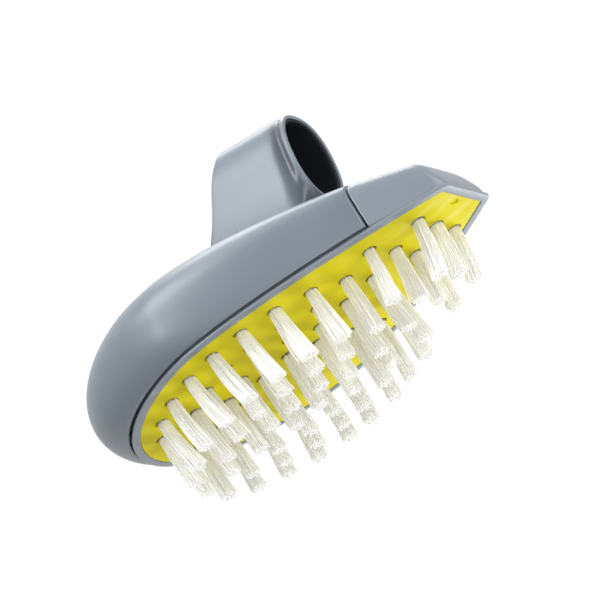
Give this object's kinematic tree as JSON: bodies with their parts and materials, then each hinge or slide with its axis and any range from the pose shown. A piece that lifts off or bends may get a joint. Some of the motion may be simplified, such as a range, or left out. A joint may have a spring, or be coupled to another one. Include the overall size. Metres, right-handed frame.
{
  "type": "vegetable brush",
  "caption": "Palm-held vegetable brush: egg-shaped bristle plate, humped grip cover with a finger loop on top, and an angular nose.",
  "frame": {"origin": "bottom centre of the bounding box, on the plane of the bristle tips", "axes": "+X toward the nose, +Y across the brush, +Z from the bristle tips up through the grip to the finger loop"},
  "size_m": [0.1178, 0.0774, 0.0696],
  "materials": {
    "body_plastic": "satin",
    "frame_plastic": "satin",
    "liner_rubber": "matte",
    "plate_plastic": "satin",
    "bristle_nylon": "translucent satin",
    "anchor_wire": "drawn",
    "screw_steel": "plated"
  },
  "bodies": {
    "root": {"grip_cover": "body_plastic", "finger_loop": "body_plastic", "loop_liner": "liner_rubber", "base_frame": "frame_plastic", "bristle_plate": "plate_plastic", "tufts_outer": "bristle_nylon", "tufts_middle": "bristle_nylon", "tufts_inner": "bristle_nylon", "tufts_centre": "bristle_nylon", "tufts_front": "bristle_nylon", "tufts_nose": "bristle_nylon", "tuft_anchors": "anchor_wire", "cover_screws": "screw_steel"}
  },
  "joints": []
}
